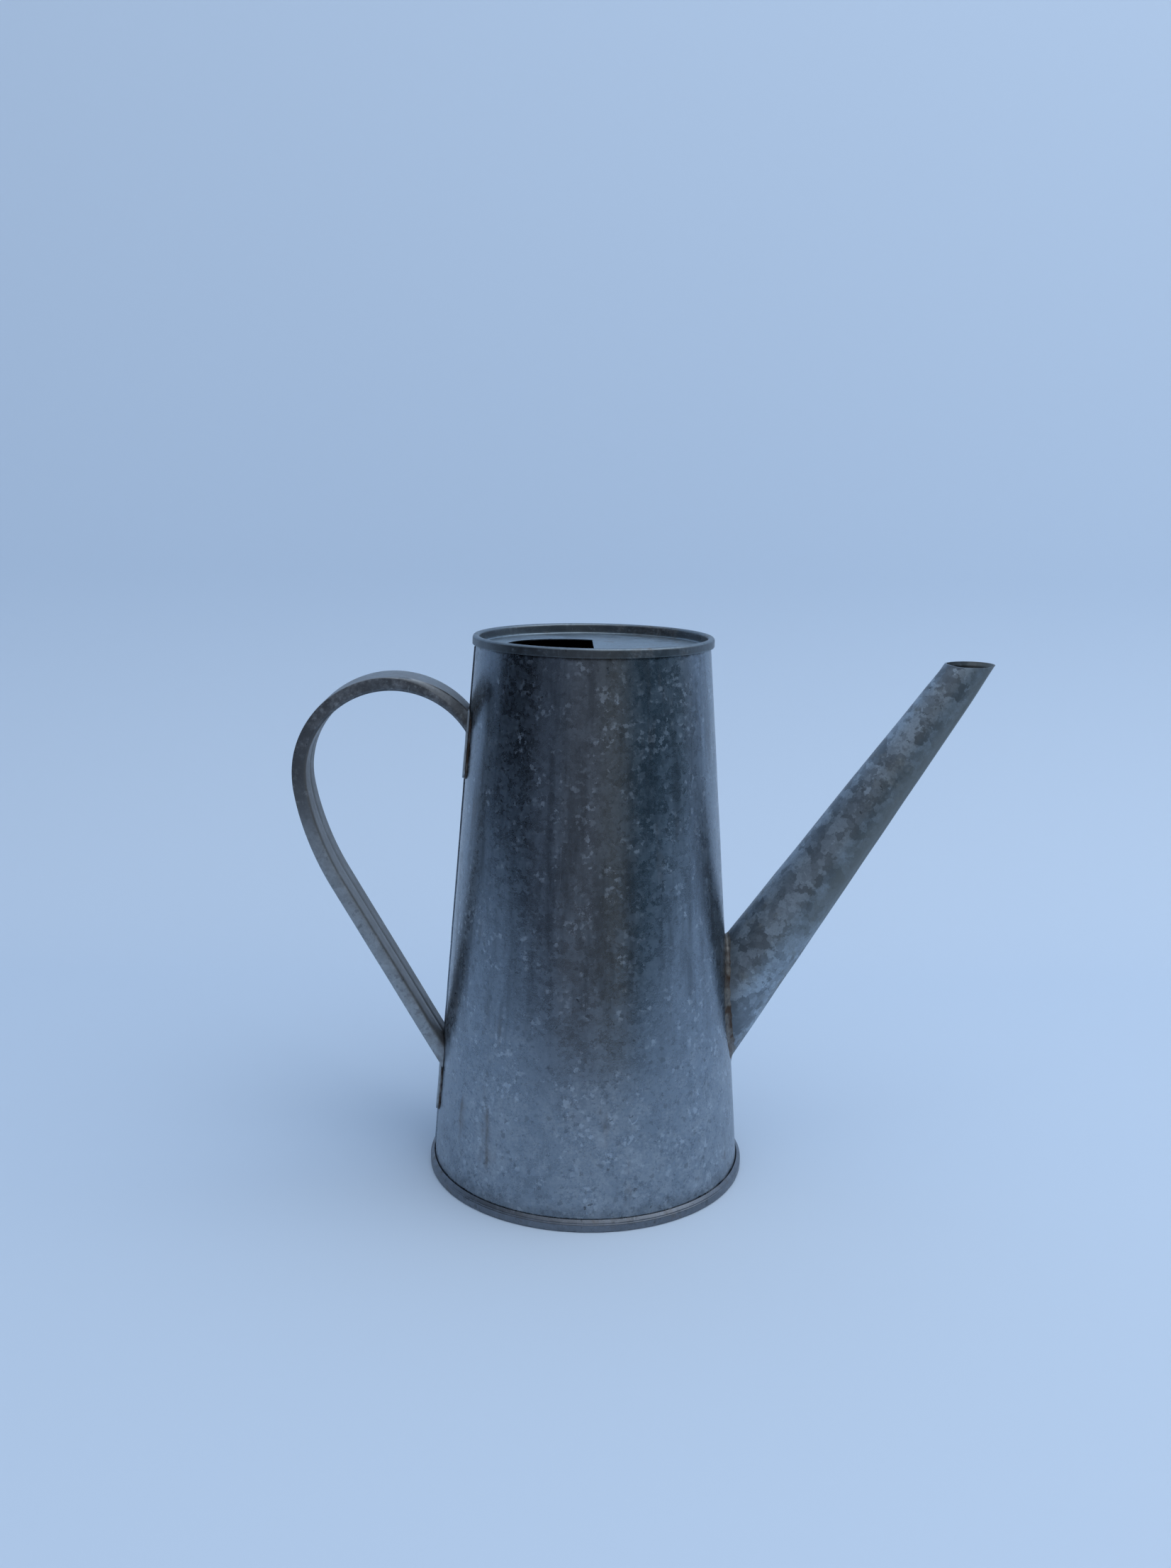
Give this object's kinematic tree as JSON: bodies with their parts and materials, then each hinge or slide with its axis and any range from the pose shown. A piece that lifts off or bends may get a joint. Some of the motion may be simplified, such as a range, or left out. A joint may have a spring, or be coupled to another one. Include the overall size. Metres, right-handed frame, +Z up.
{
  "type": "watering can",
  "caption": "Tapered galvanised sheet-steel watering can with a half-open recessed deck, a long straight tapered spout and a strap handle.",
  "frame": {"origin": "on the body's axis, on the plane that the base seam stands on", "axes": "+Z up along the body's axis; +X towards the spout, so the handle points along -X; Y across the can, which is a plane of mirror symmetry at Y = 0"},
  "size_m": [0.3329, 0.1568, 0.265],
  "materials": {
    "wall_sheet": "weathered hot-dip galvanised, dull blue-grey with a fine mottle",
    "deck_sheet": "weathered galvanised, lighter, with a faint spangle",
    "base_sheet": "weathered galvanised, rubbed where it stands",
    "spout_sheet": "weathered galvanised with a large spangle and tan stains",
    "handle_sheet": "weathered galvanised, grey-brown from handling",
    "solder": "dull oxidised soft solder"
  },
  "bodies": {
    "root": {"body_shell": "wall_sheet", "top_deck": "deck_sheet", "base_plate": "base_sheet", "spout_tube": "spout_sheet", "handle_strap": "handle_sheet", "spout_joint_solder": "solder", "upper_tab_solder": "solder", "lower_tab_solder": "solder", "side_seam_solder": "solder", "base_seam_solder": "solder", "spout_seam_solder": "solder"}
  },
  "joints": []
}
